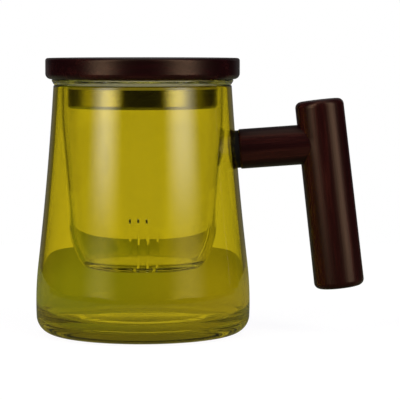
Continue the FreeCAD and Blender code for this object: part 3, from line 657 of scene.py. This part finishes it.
def floor_surface():
    """The floor's material: matt, with a white glow to the eye and, through glass, a duller painted
    glow with a painted shadow under the foot.
    """
    material, tree, out, where = new_material("floor")
    maths = Maths(tree)
    path = connect(tree, "ShaderNodeLightPath").outputs
    x, y, _ = connect(tree, "ShaderNodeSeparateXYZ", {"Vector": where}).outputs
    away = maths.node("SQRT", maths.plus(maths.node("POWER", x, 2.0), maths.node("POWER", y, 2.0)))
    # Painted shadow: the glow through glass is dimmed under the foot and fades far away.
    near = maths.lifted(maths.smooth(away, *FOOT_SPAN), FOOT_SHADE)
    far = maths.without(maths.times(maths.smooth(away, *FAR_SPAN), FAR_LOSS))
    # The steel's reflections see a dark floor in front of the mug.
    front = maths.most(maths.smooth(y, *FRONT_SPAN), maths.fewer(path["Glossy Depth"]))
    # Painted reflection: the glow through glass is greener to the left and more orange to the
    # right.
    tone = ramp(tree, maths.smooth(x, *TONE_SPAN), (0.0, 1.0), (FLOOR_LEFT, FLOOR_RIGHT))
    matt = connect(tree, "ShaderNodeBsdfDiffuse", {}, {"Color": FLOOR_MATT}).outputs[0]
    dull = connect(tree, "ShaderNodeEmission",
                   {"Color": tone, "Strength": maths.times(near, far, front)}).outputs[0]
    white = connect(tree, "ShaderNodeEmission", {},
                    {"Color": FLOOR_WHITE, "Strength": 1}).outputs[0]
    through = connect(tree, "ShaderNodeAddShader", {0: matt, 1: dull}).outputs[0]
    seen = connect(tree, "ShaderNodeAddShader", {0: matt, 1: white}).outputs[0]
    unseen = connect(tree, "ShaderNodeMixShader",
                     {"Fac": path["Is Transmission Ray"], 1: matt, 2: through}).outputs[0]
    top = connect(tree, "ShaderNodeMixShader", {"Fac": path["Is Camera Ray"], 1: unseen, 2: seen})
    tree.links.new(top.outputs[0], out.inputs["Surface"])
    return material


def card_surface():
    """The card's material: dark at its foot, fading upwards, and clear but for mirror rays."""
    material, tree, out, where = new_material("card")
    maths = Maths(tree)
    path = connect(tree, "ShaderNodeLightPath").outputs
    _, _, height = connect(tree, "ShaderNodeSeparateXYZ", {"Vector": where}).outputs
    fade = maths.lifted(maths.smooth(height, *CARD_SPAN), CARD_CLEAR)
    fade = maths.most(fade, maths.without(path["Is Singular Ray"]))
    dark = connect(tree, "ShaderNodeBsdfDiffuse", {}, {"Color": CARD_DARK}).outputs[0]
    gone = connect(tree, "ShaderNodeBsdfTransparent").outputs[0]
    mix = connect(tree, "ShaderNodeMixShader", {"Fac": fade, 1: dark, 2: gone})
    tree.links.new(mix.outputs[0], out.inputs["Surface"])
    return material


def light_room(world):
    """The world: white to the eye and through glass, and to light and reflections two soft
    boxes in a dim room with a white wall behind the mug."""
    tree, out = nodes_of(world, "ShaderNodeOutputWorld")
    maths = Maths(tree)
    path = connect(tree, "ShaderNodeLightPath").outputs
    where = connect(tree, "ShaderNodeTexCoord").outputs["Generated"]
    x, y, z = connect(tree, "ShaderNodeSeparateXYZ", {"Vector": where}).outputs
    degrees = math.degrees(1)
    azimuth = maths.times(maths.node("ARCTAN2", x, maths.times(y, -1.0)), degrees)
    height = maths.times(maths.node("ARCSINE", z), degrees)

    def panel(start, end, strength):
        """Light from a window of azimuths, which fades out at its edges."""
        left = maths.smooth(azimuth, start - BOX_SOFT, start + BOX_SOFT)
        right = maths.smooth(azimuth, end + BOX_SOFT, end - BOX_SOFT)
        under = maths.smooth(height, BOX_FOOT - BOX_RISE, BOX_FOOT + BOX_RISE)
        over = maths.smooth(height, BOX_HEAD + BOX_SOFT, BOX_HEAD - BOX_SOFT)
        return maths.times(left, right, under, over, strength)

    inside = path["Is Transmission Ray"]
    # Light that has only been in the thick foot or the lip.
    edge = maths.times(inside, maths.fewer(path["Transmission Depth"], EDGE_PASSES))
    boxes = maths.times(maths.plus(panel(*LEFT_BOX), panel(*RIGHT_BOX)),
                        maths.without(maths.times(inside, BOXES_LOST_INSIDE)))
    # The steel, whose reflections leave through the glass, also sees the walls beside the boxes.
    sides = maths.times(maths.plus(panel(*LEFT_WALL), panel(*RIGHT_WALL)), inside)
    # A first reflection sees the white behind the object only faintly, light that has been
    # through the glass sees it all, and light from its edges sees a pale room in its place.
    back = maths.times(maths.smooth(maths.node("ABSOLUTE", azimuth), *BACK_SIDES),
                       maths.smooth(height, *BACK_FOOT), maths.smooth(height, *BACK_HEAD),
                       maths.lifted(inside, BACK_OUTSIDE), maths.without(edge))
    ceiling = maths.times(maths.smooth(height, *CEILING), CEILING_LIGHT)
    # Soft light from all round fills matt surfaces, so that a colour renders about as written.
    fill = maths.times(maths.without(path["Is Glossy Ray"]), FILL_LIGHT)
    room = maths.plus(maths.times(edge, EDGE_LIGHT), ROOM_LIGHT)
    studio = maths.plus(boxes, sides, back, ceiling, fill, room)
    seen = maths.most(path["Is Camera Ray"], maths.times(inside, maths.fewer(path["Glossy Depth"])))
    strength = connect(tree, "ShaderNodeMix", {0: seen, 2: studio}, {3: 1.0}).outputs[0]
    background = connect(tree, "ShaderNodeBackground", {"Strength": strength},
                         {"Color": (1, 1, 1, 1)})
    tree.links.new(background.outputs[0], out.inputs["Surface"])


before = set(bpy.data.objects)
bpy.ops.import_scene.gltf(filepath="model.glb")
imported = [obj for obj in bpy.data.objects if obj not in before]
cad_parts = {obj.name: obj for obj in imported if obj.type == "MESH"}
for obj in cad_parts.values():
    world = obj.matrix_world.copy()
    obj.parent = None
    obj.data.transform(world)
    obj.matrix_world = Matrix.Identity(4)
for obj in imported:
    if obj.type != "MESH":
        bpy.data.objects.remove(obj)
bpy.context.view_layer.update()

amber = glass("amber_skin", AMBER, ripple=0.03)
inner_amber = glass("inner_skin", CLEAR, ripple=0.03)
clear = glass("infuser_skin", CLEAR, ripple=0.02)

mug = piece("mug_glass", lathe(mug_outline()), amber, "mug", ["mug_body"])
combine(mug, "UNION", peg())
mug.data.materials.append(inner_amber)
for face in mug.data.polygons:
    face.material_index = int(inside_mug(face.center))

infuser = piece("infuser_clear", lathe(infuser_outline()), clear, "infuser",
                ["infuser_glass"])
combine(infuser, "DIFFERENCE", blades())

for node, material in (
    ("handle_arm", wood("arm_wood", ARM_TILT, WOOD)),
    ("handle_grip", wood("grip_wood", 90 + GRIP_TILT, GRIP_WOOD)),
    ("handle_dowel", wood("dowel_wood", ARM_TILT, DOWEL_WOOD, UNFINISHED)),
    ("handle_washer", moulded_silicone("dark_rubber", WASHER, gloss=0.1)),
    ("lid_disc", wood("lid_wood", 0, WOOD)),
    ("lid_steel_cup", spun_steel("spun_steel")),
    # Painted light: the seal's raised, yellowed colour makes the glass lip in front of it read
    # pale.
    ("lid_seal", moulded_silicone("pale_rubber", SEAL, gloss=0.35)),
):
    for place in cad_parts[node].material_slots:
        place.material = material

bm = bmesh.new()
corners = [(-FLOOR_EDGE, -FLOOR_EDGE), (FLOOR_EDGE, -FLOOR_EDGE),
           (FLOOR_EDGE, FLOOR_EDGE), (-FLOOR_EDGE, FLOOR_EDGE)]
bm.faces.new([bm.verts.new((x, y, -FLOOR_DROP)) for x, y in corners])
stage_piece("floor", bm, floor_surface())

bm = bmesh.new()
columns = []
for step in range(CARD_STEPS + 1):
    angle = math.radians(-90 - CARD_TURN + 2 * CARD_TURN * step / CARD_STEPS)
    spot = (CARD_RADIUS * math.cos(angle), CARD_RADIUS * math.sin(angle))
    columns.append([bm.verts.new((*spot, height)) for height in (0, CARD_HEIGHT)])
for low, high in zip(columns, columns[1:]):
    bm.faces.new((low[0], high[0], high[1], low[1]))
card = stage_piece("card", bm, card_surface())
for ray in ("camera", "diffuse", "transmission", "volume_scatter", "shadow"):
    setattr(card, "visible_" + ray, False)

bpy.context.scene.world = bpy.data.worlds.new("studio")
light_room(bpy.context.scene.world)

camera_data = bpy.data.cameras.new("camera")
camera_data.sensor_width = SENSOR_WIDTH
camera_data.lens = FOCAL_PIXELS / FRAME_PIXELS * SENSOR_WIDTH
camera = new_object("camera", camera_data)
pitch = math.radians(CAMERA_PITCH)
depth = CAMERA_BACK * math.cos(pitch) + (CAMERA_HEIGHT - AIM_HEIGHT) * math.sin(pitch)
aside = (FRAME_PIXELS / 2 - AXIS_PIXEL) * depth / FOCAL_PIXELS
camera.location = (aside * MM, -CAMERA_BACK * MM, CAMERA_HEIGHT * MM)
camera.rotation_euler = (math.radians(90) - pitch, 0, 0)
bpy.context.scene.camera = camera
bpy.context.scene.view_settings.view_transform = "Standard"
# Light turns round many times inside the thick glass foot before it comes out.
cycles = bpy.context.scene.cycles
cycles.max_bounces = 32
cycles.glossy_bounces = 24
cycles.transmission_bounces = 32
